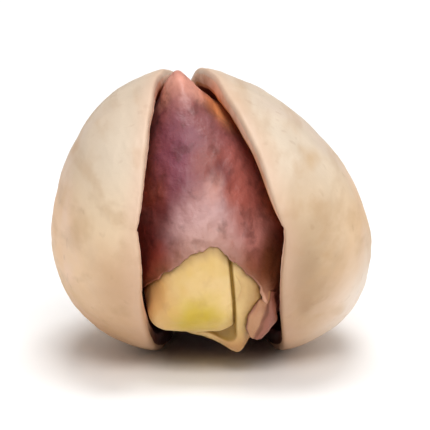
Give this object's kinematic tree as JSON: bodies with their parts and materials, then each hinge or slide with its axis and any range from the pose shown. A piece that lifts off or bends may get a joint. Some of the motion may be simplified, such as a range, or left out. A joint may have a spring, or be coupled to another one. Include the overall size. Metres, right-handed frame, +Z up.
{
  "type": "pistachio in shell",
  "caption": "Roasted pistachio lying in its split shell: two valves joined at the stem end, gaping round the tip over a skinned kernel.",
  "frame": {"origin": "on the surface the nut lies on, under the middle of its bounding box", "axes": "+Y runs from the nut's open tip to its stem end, +Z up out of the surface, +X across the split towards the right valve as seen from the tip"},
  "size_m": [0.0144, 0.0197, 0.0126],
  "materials": {
    "shell": "smooth matt shell with a faint polish, cream to tan, pinkish at the split edges",
    "kernel_skin": "papery, wrinkled, purple brown with a pale bloom",
    "kernel": "waxy seed flesh, yellow with green patches"
  },
  "bodies": {
    "root": {"shell": "shell", "kernel_skin": "kernel_skin", "kernel": "kernel"}
  },
  "joints": []
}
